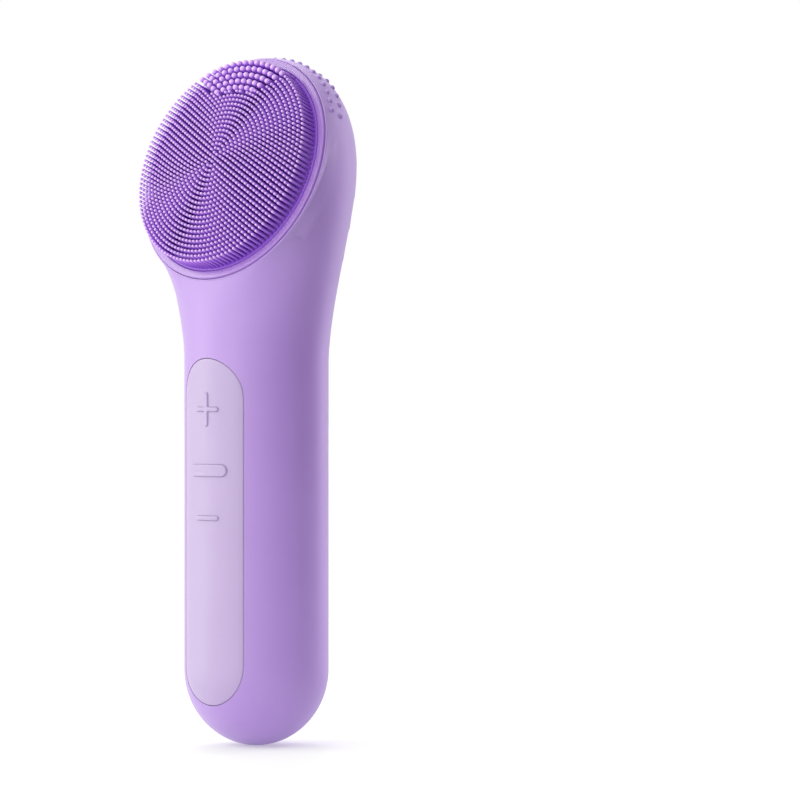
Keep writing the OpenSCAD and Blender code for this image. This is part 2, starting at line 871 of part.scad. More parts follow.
silicone_body();
keypad_panel();
plus_key();
power_key();
minus_key();
plus_plunger();
power_plunger();
minus_plunger();
plus_actuator();
power_actuator();
minus_actuator();
housing_front();
housing_back();
housing_screws();
main_board();
board_screws();
tact_switches();
board_components();
battery_cell();
battery_tabs();
battery_pad();
battery_leads();
motor_can();
motor_end_cap();
motor_magnets();
motor_brushes();
motor_armature();
motor_commutator();
motor_shaft();
eccentric_weight();
motor_sleeve();
motor_leads();
brush_pad();
head_ring();
pad_carrier();
head_seal();
mirror_plate();
plate_gasket();
charging_contacts();
contact_board();
charging_magnets();
charging_leads();
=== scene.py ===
import json
import math

import bmesh
import bpy
import numpy as np
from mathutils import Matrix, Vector


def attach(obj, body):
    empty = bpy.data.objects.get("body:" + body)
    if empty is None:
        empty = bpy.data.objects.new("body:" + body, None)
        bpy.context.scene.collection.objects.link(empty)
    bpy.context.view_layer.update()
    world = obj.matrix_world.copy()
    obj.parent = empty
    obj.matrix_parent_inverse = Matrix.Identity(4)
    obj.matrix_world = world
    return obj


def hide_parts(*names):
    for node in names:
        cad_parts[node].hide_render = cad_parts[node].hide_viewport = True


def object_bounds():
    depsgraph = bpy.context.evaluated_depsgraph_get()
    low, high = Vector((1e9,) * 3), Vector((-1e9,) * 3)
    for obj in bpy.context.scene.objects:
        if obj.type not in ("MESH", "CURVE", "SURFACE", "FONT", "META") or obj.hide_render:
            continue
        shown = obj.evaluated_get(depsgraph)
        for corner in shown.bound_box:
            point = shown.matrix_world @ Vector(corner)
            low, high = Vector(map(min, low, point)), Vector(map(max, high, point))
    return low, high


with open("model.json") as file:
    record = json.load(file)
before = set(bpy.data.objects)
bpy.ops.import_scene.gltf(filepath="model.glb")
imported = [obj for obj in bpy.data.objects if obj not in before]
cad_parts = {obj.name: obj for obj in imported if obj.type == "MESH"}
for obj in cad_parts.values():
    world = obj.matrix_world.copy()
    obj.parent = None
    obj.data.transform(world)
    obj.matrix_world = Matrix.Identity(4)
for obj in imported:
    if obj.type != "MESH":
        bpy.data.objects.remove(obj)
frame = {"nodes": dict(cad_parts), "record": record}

cad_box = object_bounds()

# ------------------------------------------------------------------ sizes
# Millimetres, with heights above the tip of the handle's round end, as the part is drawn.
MM = 0.001
GRIP_Z = 55.0
HANDLE_R = 17.2
HANDLE_H = 92.0
DOME_H = 18.2
SLEEVE_T = 1.8
NECK_Z = HANDLE_H - 0.5

RIM_R = 28.4
FACE_TILT = math.radians(19.5)
FACE_RISE = 45.0
FACE_FWD = 7.8
FACE_Z = HANDLE_H + FACE_RISE
BACK_Y = HANDLE_R + 1.0
CREST_Y = RIM_R * math.sin(FACE_TILT) - FACE_FWD + 1.3
SHOULDER_Z = FACE_Z - 1.0
SHOULDER_T = 0.557
BACK_FULLNESS = 0.045
FRONT_TAPER = 0.22
WAIST_FULLNESS = 0.008

LIP_T = 0.4
LIP_ROUND = LIP_T / 2
MOUTH_R = RIM_R - LIP_T
MOUTH_DEPTH = 4.3
RING_OUT_R = MOUTH_R - 0.1
RING_IN_R = RING_OUT_R - 1.75
RING_TOP = 0.55
RING_EDGE = 0.3
RING_FOOT = -2.2
PAD_R = RING_IN_R - 0.05
PAD_FRONT = 0.7
PAD_EDGE = 0.4
PAD_CORE_R = 0.5
BRISTLE_H = 4.6
BRISTLE_R = 0.35
BRISTLE_CROWN = 2.6
BRISTLE_SHAFT = 3.0
BRISTLE_PROFILE = ((1.22, -0.25), (1.08, 0.35), (1, 1.2))
BRISTLE_TIP = 0.97
BRISTLE_TIP_ANGLES = (0.45, 0.9, 1.25)
BRISTLE_PITCH = 1.15
BRISTLE_RINGS = 22
TOUCH_R = 0.69
TOUCH_PITCH = 1.72
TOUCH_ROWS = (15, 13, 11, 9, 7)
TOUCH_STEP = 1.95
TOUCH_EDGE = 0.85
TOUCH_CLEAR = 1.18

PANEL_W = 18.7
PANEL_Z = (10.2, HANDLE_H)
PLATE_Z = (10.3, 67.4)
PLATE_T = 0.8
GROOVE = 0.14
PLUS_Z = HANDLE_H - 12.0
POWER_Z = HANDLE_H - 26.4
MINUS_Z = HANDLE_H - 37.6
SIGN_W = 7.2
PLUS_H = 8.0
STROKE = 1.1
POWER_W = 11.6
POWER_H = 2.9
KEY_PROUD = 0.35
KEY_FILLET = 0.32
KEY_GAP = 0.05
KEY_ROOT = 15.9
STEM_HOLE_R = 1.9
CONTACT_Z = (54.6, 59.7)
RECESS_R = 1.4

WAVE_Z = (155.6, 147.2, 138.9, 130.5, 121.9, 113.2)
WAVE_SPAN = (21.0, 23.0, 23.0, 22.0, 19.0, 14.0)
WAVE_MID_X = -4.5
WAVE_H = 0.85
WAVE_FRONT_Y = 2.0
WAVE_BEND = 0.0135
WAVE_RAMP = 3.2
WAVE_STEP = 0.65
WAVE_FADE = 0.55
NUB_R = 0.75
NUB_ROWS = ((0.945, 22), (0.875, 19))
NUB_SINK = 0.18
NUB_REACH = math.radians(60)

SIDES = 320
RING_SIDES = 240
PAD_SIDES = 192
LIP_STEPS = 9
CUT_NEAR = 8
CUT_FAR = 30

VIEW_AZIMUTH = 43.3
VIEW_DISTANCE = 0.96
VIEW_FRAME_H = 0.1907
VIEW_SHIFT = 0.1794
VIEW_Z = 82.2
SENSOR_W = 36
AIM = (0, 0, 0.02)

# Stage: the floor turns white between two distances, and one side of the room is dark
FLOOR_HALF = 8.0
FLOOR_NEAR = 0.07
FLOOR_FAR = 0.32
DARK_SIDE = 115
DARK_EDGE = (0.62, 0.67)
DARK_NEAR = 0.22
DARK_FAR = 0.28
WORLD_LIGHT = 1.0
WORLD_DARK = 0.01
WARM = (0.87, 1.0, 0.60)
COOL = (0.86, 0.68, 1.0)

# The brush face's own axes: out of the face, and up along it
FACE_OUT = np.array([0.0, -math.cos(FACE_TILT), math.sin(FACE_TILT)])
FACE_UP = np.array([0.0, math.sin(FACE_TILT), math.cos(FACE_TILT)])
FACE_MID = np.array([0.0, -FACE_FWD, FACE_Z])


# ------------------------------------------------------------------ shader maths
class Wire:
    """A number socket that Python's arithmetic works on."""

    def __init__(self, paint, socket):
        self.paint = paint
        self.socket = socket

    def _math(self, operation, a, b):
        made = self.paint.node("ShaderNodeMath", {"operation": operation}, {0: a, 1: b})
        return Wire(self.paint, made.outputs[0])

    def __add__(self, other):
        return self._math("ADD", self, other)

    __radd__ = __add__

    def __sub__(self, other):
        return self._math("SUBTRACT", self, other)

    def __rsub__(self, other):
        return self._math("SUBTRACT", other, self)

    def __mul__(self, other):
        return self._math("MULTIPLY", self, other)

    __rmul__ = __mul__

    def clamp(self):
        made = self.paint.node("ShaderNodeClamp", {}, {0: self})
        return Wire(self.paint, made.outputs[0])


class Paint:
    """A material under construction: its Principled shader and the nodes that feed it."""

    def __init__(self, name, **constants):
        self.material = bpy.data.materials.new(name)
        self.material.use_nodes = True
        self.tree = self.material.node_tree
        self.shader = self.tree.nodes["Principled BSDF"]
        for key, value in constants.items():
            self.shader.inputs[key.replace("_", " ")].default_value = value

    def node(self, kind, settings, sockets):
        made = self.tree.nodes.new(kind)
        for key, value in settings.items():
            setattr(made, key, value)
        for key, value in sockets.items():
            value = value.socket if isinstance(value, Wire) else value
            if isinstance(value, bpy.types.NodeSocket):
                self.tree.links.new(value, made.inputs[key])
            else:
                made.inputs[key].default_value = value
        return made

    def place(self):
        return self.node("ShaderNodeTexCoord", {}, {}).outputs["Object"]

    def noise(self, scale, detail=3.0, roughness=0.5, stretch=(1, 1, 1)):
        spot = self.node("ShaderNodeMapping", {}, {"Vector": self.place(), "Scale": stretch})
        made = self.node("ShaderNodeTexNoise", {}, {
            "Vector": spot.outputs[0], "Scale": scale, "Detail": detail, "Roughness": roughness})
        return Wire(self, made.outputs["Fac"])

    def along(self, direction, origin):
        """Distance of a point from origin along a direction, in millimetres."""
        off = self.node("ShaderNodeVectorMath", {"operation": "SUBTRACT"}, {0: self.place(), 1: origin})
        dot = self.node("ShaderNodeVectorMath", {"operation": "DOT_PRODUCT"},
                        {0: off.outputs[0], 1: direction})
        return Wire(self, dot.outputs["Value"]) * (1 / MM)

    def blend(self, factor, a, b):
        made = self.node("ShaderNodeMix", {"data_type": "RGBA"}, {0: factor, 6: a, 7: b})
        return made.outputs[2]

    def colour(self, socket):
        self.tree.links.new(socket, self.shader.inputs["Base Color"])
        return self

    def roughness(self, wire):
        self.tree.links.new(wire.socket, self.shader.inputs["Roughness"])
        return self

    def bump(self, wire, strength, height):
        made = self.node("ShaderNodeBump", {}, {
            "Height": wire, "Strength": strength, "Distance": height * MM})
        self.tree.links.new(made.outputs[0], self.shader.inputs["Normal"])
        return self


def tint(red, green, blue):
    """Linear colour, opaque, from display values of 0 to 255."""
    return tuple(((v / 255 + 0.055) / 1.055) ** 2.4 for v in (red, green, blue)) + (1.0,)


def soft_silicone(name, pale, deep, roughness=0.50):
    """Moulded silicone: a faint cloudiness in the colour and a fine satin grain."""
    paint = Paint(name, Subsurface_Weight=0.10, Subsurface_Scale=0.004, Sheen_Weight=0.20,
                  Sheen_Roughness=0.6, Specular_IOR_Level=1.0, IOR=1.45)
    paint.shader.inputs["Subsurface Radius"].default_value = (1.0, 0.7, 1.0)
    cloud = paint.noise(90, 2.0)
    grain = paint.noise(5200, 2.0)
    paint.colour(paint.blend(cloud, deep, pale))
    paint.roughness(cloud * 0.06 + grain * 0.05 + (roughness - 0.055))
    return paint.bump(grain, 0.10, 0.02).material


def bristle_silicone():
    """Violet bristles: painted shade makes them deep violet at the roots, and a painted highlight makes
    them pale at their tips.
    """
    paint = Paint("bristle_violet_painted_shade", Subsurface_Weight=0.08, Subsurface_Scale=0.002, IOR=1.43)
    paint.shader.inputs["Subsurface Radius"].default_value = (1.0, 0.5, 1.0)
    root = to_frame(FACE_MID + FACE_OUT * PAD_FRONT)
    out = paint.along(tuple(FACE_OUT), root)
    middle = paint.node("ShaderNodeVectorMath", {"operation": "SUBTRACT"}, {0: paint.place(), 1: root})
    spread = paint.node("ShaderNodeVectorMath", {"operation": "LENGTH"}, {0: middle.outputs[0]})
    spread = Wire(paint, spread.outputs["Value"]) * (1 / (MM * PAD_R))
    crown = (1 - spread * spread) * BRISTLE_CROWN
    rise = ((out - crown) * (1 / BRISTLE_H)).clamp()
    # Painted shade: the colour darkens from mid violet towards the roots, where the bristles shade one
    # another.
    body = paint.blend(rise, tint(138, 80, 204), tint(176, 118, 230))
    # Painted highlight: the top fifth of each bristle turns pale.
    tip = ((rise - 0.80) * 5.0).clamp()
    cloud = paint.noise(700, 2.0)
    paint.colour(paint.blend(tip, body, tint(216, 176, 244)))
    paint.roughness(cloud * 0.10 + 0.30)
    return paint.bump(cloud, 0.10, 0.02).material


def mirror_plating():
    """Bright plated plate with the faintest smears."""
    paint = Paint("mirror_plating", Metallic=1.0)
    smear = paint.noise(60, 4.0, stretch=(1, 1, 0.35))
    paint.colour(paint.blend(smear, tint(226, 226, 232), tint(240, 240, 244)))
    paint.roughness(smear * 0.03 + 0.01)
    return paint.bump(paint.noise(40, 1.0), 0.02, 0.05).material


def moulded_plastic(name, pale, deep, roughness):
    paint = Paint(name, IOR=1.5)
    cloud = paint.noise(150, 2.0)
    grain = paint.noise(2600, 3.0)
    paint.colour(paint.blend(cloud, deep, pale))
    paint.roughness(grain * 0.12 + (roughness - 0.06))
    return paint.bump(grain, 0.18, 0.02).material


def worked_metal(name, pale, deep, roughness, stretch=(1, 1, 18)):
    paint = Paint(name, Metallic=1.0)
    lines = paint.noise(900, 4.0, stretch=stretch)
    stain = paint.noise(160, 2.0)
    paint.colour(paint.blend(stain, deep, pale))
    paint.roughness(lines * 0.14 + (roughness - 0.07))
    return paint.bump(lines, 0.15, 0.01).material


def circuit_board():
    """Green coating over a weave, with paler copper tracks under it."""
    paint = Paint("circuit_board", Coat_Weight=0.4, Coat_Roughness=0.15, IOR=1.5)
    tracks = paint.node("ShaderNodeTexBrick", {}, {
        "Vector": paint.place(), "Scale": 260.0, "Mortar Size": 0.03,
        "Color1": tint(18, 96, 54), "Color2": tint(22, 108, 62), "Mortar": tint(60, 140, 84)})
    weave = paint.noise(1500, 2.0)
    paint.colour(tracks.outputs["Color"])
    paint.roughness(weave * 0.2 + 0.3)
    return paint.bump(weave, 0.15, 0.02).material


# ------------------------------------------------------------------ mesh helpers
def to_frame(points):
    """Millimetres above the tip to metres in the part's frame."""
    shifted = np.array(points, float) - np.array([0.0, 0.0, GRIP_Z])
    return shifted * MM


def new_piece(name, points, faces, material, sharp=35):
    mesh = bpy.data.meshes.new(name)
    mesh.from_pydata(to_frame(points).tolist(), [], faces)
    mesh.validate()
    mesh.materials.append(material)
    finish_mesh(mesh, sharp)
    piece = bpy.data.objects.new(name, mesh)
    bpy.context.scene.collection.objects.link(piece)
    return piece


def finish_mesh(mesh, sharp):
    """Outward normals, smooth faces, and hard edges only where the shape turns sharply."""
    work = bmesh.new()
    work.from_mesh(mesh)
    bmesh.ops.recalc_face_normals(work, faces=work.faces)
    for face in work.faces:
        face.smooth = True
    work.to_mesh(mesh)
    work.free()
    mesh.set_sharp_from_angle(angle=math.radians(sharp))


def ring_faces(rings, sides, first=0):
    """Quads between successive closed rings of points."""
    faces = []
    for i in range(rings - 1):
        a = first + i * sides
        b = a + sides
        faces += [(a + k, a + (k + 1) % sides, b + (k + 1) % sides, b + k) for k in range(sides)]
    return faces


def cut(piece, cutters, union=False):
    """Cut other pieces out of a piece, or join them on, and remove them."""
    for cutter in cutters:
        step = piece.modifiers.new("cut", "BOOLEAN")
        step.operation = "UNION" if union else "DIFFERENCE"
        step.solver = "EXACT"
        step.object = cutter
    bpy.context.view_layer.update()
    made = bpy.data.meshes.new_from_object(piece.evaluated_get(bpy.context.evaluated_depsgraph_get()))
    piece.modifiers.clear()
    old = piece.data
    piece.data = made
    bpy.data.meshes.remove(old)
    for cutter in cutters:
        bpy.data.objects.remove(cutter)
    finish_mesh(piece.data, 35)


def bar_outline(half_w, half_h, inset, arc=16, step=0.8):
    """Points round a bar with round ends, long side along the first axis, moved in by inset."""
    r = half_h - inset
    straight = half_w - half_h
    n = max(2, int(2 * straight / step))
    turn = np.linspace(-math.pi / 2, math.pi / 2, arc)
    right = np.stack([straight + r * np.cos(turn), r * np.sin(turn)], 1)
    top = np.stack([np.linspace(straight, -straight, n + 1)[1:-1], np.full(n - 1, r)], 1)
    return np.concatenate([right, top, -right, -top])


EDGE_ANGLES = (0.5, 0.9, 1.25, 1.57)
TOP_SHARES = (0.12, 0.28, 0.46, 0.64, 0.82, 0.97)


def curved_bar(name, half_w, half_h, mid_z, skin, depth, material, upright=False, side=-1, fillet=0.2):
    """Plate with round ends that follows the handle's surface at skin(z), with a rounded edge."""
    insets = [0.0] + [fillet * (1 - math.cos(a)) for a in EDGE_ANGLES]
    drops = [fillet] + [fillet * (1 - math.sin(a)) for a in EDGE_ANGLES]
    reach = half_h - fillet
    for share in TOP_SHARES:
        insets.append(fillet + reach * share)
        drops.append(0.0)
    rings = []
    for inset, drop in zip(insets, drops):
        flat = bar_outline(half_w, half_h, inset)
        x, z = (flat[:, 1], flat[:, 0]) if upright else (flat[:, 0], flat[:, 1])
        z = z + mid_z
        rings.append(np.stack([x, side * wall_y(x, z, skin, drop), z], 1))
    base = rings[0].copy()
    base[:, 1] = side * depth(base[:, 0], base[:, 2])
    rings.insert(0, base)
    n = len(base)
    points = np.concatenate(rings)
    faces = ring_faces(len(rings), n)
    faces.append(tuple(range(n))[::-1])
    faces.append(tuple(range((len(rings) - 1) * n, len(rings) * n)))
    return new_piece(name, points, faces, material)


def wall_y(x, z, inset, drop=0.0):
    """Distance in front of the axis of the handle's surface, moved in by inset and drop."""
    low = np.clip((DOME_H - z) / DOME_H, 0, 1)
    r = (HANDLE_R - inset - drop) * np.sqrt(np.clip(1 - low ** 2, 0, 1))
    return np.sqrt(np.clip(r ** 2 - x ** 2, 0, None))


def prism(name, half_w, half_h, mid, y0, y1, upright=False):
    """Straight bar along Y with round ends, to cut with."""
    flat = bar_outline(half_w, half_h, 0.0)
    x, z = (flat[:, 1], flat[:, 0]) if upright else (flat[:, 0], flat[:, 1])
    n = len(flat)
    points = np.concatenate([np.stack([x, np.full(n, y), z + mid], 1) for y in (y0, y1)])
    faces = ring_faces(2, n) + [tuple(range(n))[::-1], tuple(range(n, 2 * n))]
    return new_piece(name, points, faces, None)


def rod(name, r, z, y0, y1, sides=40):
    turn = np.arange(sides) * 2 * math.pi / sides
    points = np.concatenate([
        np.stack([r * np.cos(turn), np.full(sides, y), z + r * np.sin(turn)], 1) for y in (y0, y1)])
    faces = ring_faces(2, sides) + [tuple(range(sides))[::-1], tuple(range(sides, 2 * sides))]
    return new_piece(name, points, faces, None)


# ------------------------------------------------------------------ sleeve
def ease(t):
    t = min(1.0, max(0.0, t))
    return t * t * (3 - 2 * t)


def head_section(t, depth, angles):
    """One closed section of the head, fanned from level at the neck to the brush face."""
    mid_face = FACE_MID - FACE_OUT * LIP_ROUND
    rim = RIM_R - depth
    low = mid_face - FACE_UP * rim
    top = mid_face + FACE_UP * rim
    neck = HANDLE_R - depth
    a = np.array([-neck + (low[1] + neck) * t ** 3, NECK_Z + (low[2] - NECK_Z) * t])
    wall = BACK_Y - depth
    if t < SHOULDER_T:
        share = t / SHOULDER_T
        b = np.array([neck + (wall - neck) * ease(share), NECK_Z + (SHOULDER_Z - NECK_Z) * share])
    else:
        turn = math.acos((top[1] - CREST_Y) / (wall - CREST_Y))
        rise = (top[2] - SHOULDER_Z) / math.sin(turn)
        angle = turn * (t - SHOULDER_T) / (1 - SHOULDER_T)
        b = np.array([CREST_Y + (wall - CREST_Y) * math.cos(angle), SHOULDER_Z + rise * math.sin(angle)])
    mid, half = (a + b) / 2, (b - a) / 2
    w = (neck + (rim - neck) * ease((mid[1] - NECK_Z) / FACE_RISE))
    w *= 1 + WAIST_FULLNESS * math.sin(math.pi * t)
    back = (1 + np.cos(angles)) / 2
    full = BACK_FULLNESS * math.sin(math.pi * t ** 1.15) * back
    taper = FRONT_TAPER * math.sin(math.pi * min(1.0, t ** 1.4))
    x = (np.sin(angles) + full * (np.sin(3 * angles) + np.sin(angles))) * (1 - taper * (1 - back) ** 1.5)
    c = np.cos(angles) - full * (np.cos(3 * angles) - np.cos(angles))
    return np.stack([w * x, mid[0] + half[0] * c, mid[1] + half[1] * c], 1)


def face_ring(r, height, angles):
    """Circle round the brush face's axis, starting at its top."""
    spot = FACE_MID + FACE_OUT * height
    return spot + r * (np.cos(angles)[:, None] * FACE_UP + np.sin(angles)[:, None] * np.array([1.0, 0, 0]))


def body_rings(depth, angles, dome_n, handle_n, head_n):
    """Rings from the handle's tip to the rim, moved in by depth."""
    r = HANDLE_R - depth
    round_up = np.stack([np.sin(angles), np.cos(angles)], 1)
    rings = []
    for i in range(1, dome_n):
        a = math.pi / 2 * i / dome_n
        z = DOME_H - (DOME_H - depth) * math.cos(a)
        rings.append(np.column_stack([round_up * r * math.sin(a), np.full(len(angles), z)]))
    for z in np.linspace(DOME_H, NECK_Z, handle_n):
        rings.append(np.column_stack([round_up * r, np.full(len(angles), z)]))
    for i in range(1, head_n + 1):
        rings.append(head_section(i / head_n, depth, angles))
    return rings


def grid_normals(rings):
    """Outward normals of a grid of rings."""
    grid = np.array(rings)
    along = np.gradient(grid, axis=0)
    around = np.roll(grid, -1, 1) - np.roll(grid, 1, 1)
    normal = np.cross(along, around)
    normal /= np.linalg.norm(normal, axis=2, keepdims=True) + 1e-12
    return normal


def wave_height(points):
    """Six arched steps on the back of the head: each swells downwards and drops off short."""
    x, y, z = points[..., 0], points[..., 1], points[..., 2]
    arched = z + WAVE_BEND * (x - WAVE_MID_X) ** 2
    total = np.zeros_like(x)
    for line, span in zip(WAVE_Z, WAVE_SPAN):
        above = arched - line
        swell = np.exp(-np.clip(above, 0, None) / WAVE_RAMP)
        drop = np.clip(1 + above / WAVE_STEP, 0, 1)
        drop = drop * drop * (3 - 2 * drop)
        fade = np.clip((span - np.abs(x)) / (WAVE_FADE * span), 0, 1)
        fade = fade * fade * (3 - 2 * fade)
        total = np.maximum(total, WAVE_H * swell * drop * fade)
    return total * np.clip((y - WAVE_FRONT_Y) / WAVE_FRONT_Y, 0, 1)


def nub_points(centre, normal):
    """Small ball sunk in the sleeve so that it stands out as a round nub."""
    points = []
    tall, around = 7, 12
    side = np.cross(normal, [0.31, 0.2, 0.93])
    side /= np.linalg.norm(side)
    other = np.cross(normal, side)
    for i in range(1, tall):
        a = math.pi * i / tall
        for k in range(around):
            b = 2 * math.pi * k / around
            points.append(centre + NUB_R * (math.cos(a) * normal
                                            + math.sin(a) * (math.cos(b) * side + math.sin(b) * other)))
    faces = ring_faces(tall - 1, around)
    top = len(points)
    points += [centre + NUB_R * normal, centre - NUB_R * normal]
    last = (tall - 2) * around
    faces += [(top, (k + 1) % around, k) for k in range(around)]
    faces += [(top + 1, last + k, last + (k + 1) % around) for k in range(around)]
    return points, faces


def add_nubs(points, faces):
    for t, count in NUB_ROWS:
        for s in np.linspace(-NUB_REACH, NUB_REACH, count):
            near = head_section(t, 0.0, np.array([s - 0.01, s, s + 0.01]))
            next_t = head_section(t + 0.01, 0.0, np.array([s]))[0]
            normal = np.cross(next_t - near[1], near[2] - near[0])
            normal /= np.linalg.norm(normal)
            nub, nub_faces = nub_points(near[1] - normal * NUB_SINK, normal)
            start = len(points)
            points += nub
            faces += [tuple(start + i for i in face) for face in nub_faces]


def sleeve(material):
    """The silicone sleeve, a closed skin: outside, lip of the mouth, and inside."""
    angles = np.arange(SIDES) * 2 * math.pi / SIDES
    outer = body_rings(0.0, angles, 36, 110, 260)
    grid = np.array(outer)
    grid = grid + grid_normals(outer) * wave_height(grid)[..., None]
    rings = list(grid)
    for a in np.linspace(0, math.pi, LIP_STEPS)[1:]:
        radius = MOUTH_R + LIP_ROUND * (1 + math.cos(a))
        rings.append(face_ring(radius, -LIP_ROUND * (1 - math.sin(a)), angles))
    rings.append(face_ring(MOUTH_R, -MOUTH_DEPTH, angles))
    inner = body_rings(SLEEVE_T, angles, 10, 12, 30)
    behind = [r for r in inner if ((r - FACE_MID) @ FACE_OUT).max() < -MOUTH_DEPTH]
    rings += behind[::-1]
    points = np.concatenate(rings).tolist()
    faces = ring_faces(len(rings), SIDES)
    tip_out, tip_in = len(points), len(points) + 1
    points += [[0, 0, 0], [0, 0, SLEEVE_T]]
    last = (len(rings) - 1) * SIDES
    faces += [(tip_out, (k + 1) % SIDES, k) for k in range(SIDES)]
    faces += [(tip_in, last + k, last + (k + 1) % SIDES) for k in range(SIDES)]
    piece = new_piece("sleeve", points, faces, material)
    panel_mid = sum(PANEL_Z) / 2
    plate_mid = sum(PLATE_Z) / 2
    half_w = PANEL_W / 2 + GROOVE
    panel_half = (PANEL_Z[1] - PANEL_Z[0]) / 2 + GROOVE
    plate_half = (PLATE_Z[1] - PLATE_Z[0]) / 2 + GROOVE
    cut(piece, [
        prism("front_window", panel_half, half_w, panel_mid, -CUT_FAR, -CUT_NEAR, True),
        prism("back_window", plate_half, half_w, plate_mid, CUT_NEAR, CUT_FAR, True)])
    nub_verts, nub_faces = [], []
    add_nubs(nub_verts, nub_faces)
    nubs = new_piece("crest_nubs", nub_verts, nub_faces, material)
    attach(nubs, "body")
    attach(piece, "body")
    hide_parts("silicone_body")
    return piece


# ------------------------------------------------------------------ brush head
def head_ring(material):
    """Pale ring with a rounded top, between the lip and the brush pad."""
    angles = np.arange(RING_SIDES) * 2 * math.pi / RING_SIDES
    r = RING_EDGE
    profile = [(RING_OUT_R, RING_FOOT)]
    profile += [(RING_OUT_R - r + r * math.cos(a), RING_TOP - r + r * math.sin(a))
                for a in np.linspace(0, math.pi / 2, 6)]
    profile += [(RING_IN_R + r - r * math.sin(a), RING_TOP - r + r * math.cos(a))
                for a in np.linspace(0, math.pi / 2, 6)]
    profile += [(RING_IN_R, RING_FOOT)]
    rings = [face_ring(radius, height, angles) for radius, height in profile]
    faces = ring_faces(len(rings) + 1, RING_SIDES)
    total = len(rings) * RING_SIDES
    faces = [tuple(i % total for i in face) for face in faces]
    piece = new_piece("pad_ring", np.concatenate(rings), faces, material)
    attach(piece, "body")
    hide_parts("head_ring")


def touch_spots():
    """Places of the thick touch points, in rows along the top edge of the face."""
    spots = []
    for row, count in enumerate(TOUCH_ROWS):
        r = PAD_R - TOUCH_EDGE - row * TOUCH_PITCH
        step = TOUCH_STEP / r
        for i in range(count):
            a = (i - (count - 1) / 2) * step
            spots.append((r * math.sin(a), r * math.cos(a)))
    return spots


def fine_spots(touch):
    """Places of the fine bristles, six more in each ring, clear of the touch points."""
    thick = np.array(touch)
    spots = [(0.0, 0.0)]
    for ring in range(1, BRISTLE_RINGS + 1):
        r = ring * BRISTLE_PITCH
        for i in range(6 * ring):
            a = 2 * math.pi * i / (6 * ring)
            spot = np.array([r * math.sin(a), r * math.cos(a)])
            if np.min(np.linalg.norm(thick - spot, axis=1)) > TOUCH_CLEAR:
                spots.append(tuple(spot))
    return spots


def bristle_shape(r, sides):
    """Rings of one bristle from root to rounded tip, its lower part as one stretch."""
    shape = [(r * share, height) for share, height in BRISTLE_PROFILE]
    shape.append((r * BRISTLE_TIP, BRISTLE_H - r))
    shape += [(r * BRISTLE_TIP * math.cos(a), BRISTLE_H - r + r * math.sin(a)) for a in BRISTLE_TIP_ANGLES]
    turn = np.arange(sides) * 2 * math.pi / sides
    circle = np.stack([np.cos(turn), np.sin(turn)], 1)
    flat = np.concatenate([np.column_stack([circle * radius, np.full(sides, height)])
                           for radius, height in shape])
    flat = np.vstack([flat, [0, 0, BRISTLE_H]])
    faces = ring_faces(len(shape), sides)
    last = (len(shape) - 1) * sides
    faces += [(last + k, last + (k + 1) % sides, len(flat) - 1) for k in range(sides)]
    faces.append(tuple(range(sides))[::-1])
    return flat, faces


def bristles(name, spots, r, sides, material):
    shape, shape_faces = bristle_shape(r, sides)
    across = np.array([1.0, 0.0, 0.0])
    points, faces = [], []
    base = FACE_MID + FACE_OUT * PAD_FRONT
    for x, up in spots:
        start = len(points) * len(shape)
        root = base + across * x + FACE_UP * up
        crown = BRISTLE_CROWN * (1 - (x * x + up * up) / PAD_R ** 2)
        height = shape[:, 2:] + crown * np.clip(shape[:, 2:] / BRISTLE_SHAFT, 0, 1)
        points.append(root + shape[:, :1] * across + shape[:, 1:2] * FACE_UP + height * FACE_OUT)
        faces += [tuple(start + i for i in face) for face in shape_faces]
    piece = new_piece(name, np.concatenate(points), faces, material, sharp=80)
    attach(piece, "body")
    return piece


def brush_pad(material):
    """Base of the brush with its bristles and thick touch points."""
    angles = np.arange(PAD_SIDES) * 2 * math.pi / PAD_SIDES
    edge = PAD_EDGE
    profile = [(PAD_CORE_R, RING_FOOT), (PAD_R, RING_FOOT), (PAD_R, PAD_FRONT - edge)]
    profile += [(PAD_R - edge + edge * math.cos(a), PAD_FRONT - edge + edge * math.sin(a))
                for a in np.linspace(0.3, math.pi / 2, 5)]
    profile += [(r, PAD_FRONT) for r in (20, 13, 6, PAD_CORE_R)]
    rings = [face_ring(radius, height, angles) for radius, height in profile]
    faces = ring_faces(len(rings), PAD_SIDES)
    faces.append(tuple(range(PAD_SIDES))[::-1])
    faces.append(tuple(range((len(rings) - 1) * PAD_SIDES, len(rings) * PAD_SIDES)))
    base = new_piece("pad_base", np.concatenate(rings), faces, material)
    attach(base, "body")
    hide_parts("brush_pad")
    touch = touch_spots()
    bristles("fine_bristles", fine_spots(touch), BRISTLE_R, 8, material)
    bristles("touch_points", touch, TOUCH_R, 14, material)


# ------------------------------------------------------------------ panel, keys and plate
def inner_wall(inset):
    return lambda x, z: wall_y(x, z, inset)


def sign_cutters(grow):
    """Cutters for the three signs, larger by grow all round."""
    return [
        prism("c1", SIGN_W / 2 + grow, STROKE / 2 + grow, PLUS_Z, -CUT_FAR, -CUT_NEAR),
        prism("c2", PLUS_H / 2 + grow, STROKE / 2 + grow, PLUS_Z, -CUT_FAR, -CUT_NEAR, True),
        prism("c3", POWER_W / 2 + grow, POWER_H / 2 + grow, POWER_Z, -CUT_FAR, -CUT_NEAR),
        prism("c4", SIGN_W / 2 + grow, STROKE / 2 + grow, MINUS_Z, -CUT_FAR, -CUT_NEAR)]


def keypad(material):
    panel = curved_bar("keypad", (PANEL_Z[1] - PANEL_Z[0]) / 2, PANEL_W / 2, sum(PANEL_Z) / 2, 0.0,
                       inner_wall(SLEEVE_T), material, upright=True)
    wells = [rod("well", STEM_HOLE_R, z, -KEY_ROOT - 0.1, -CUT_NEAR) for z in (PLUS_Z, POWER_Z, MINUS_Z)]
    cut(panel, sign_cutters(KEY_GAP) + wells)
    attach(panel, "body")
    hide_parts("keypad_panel")


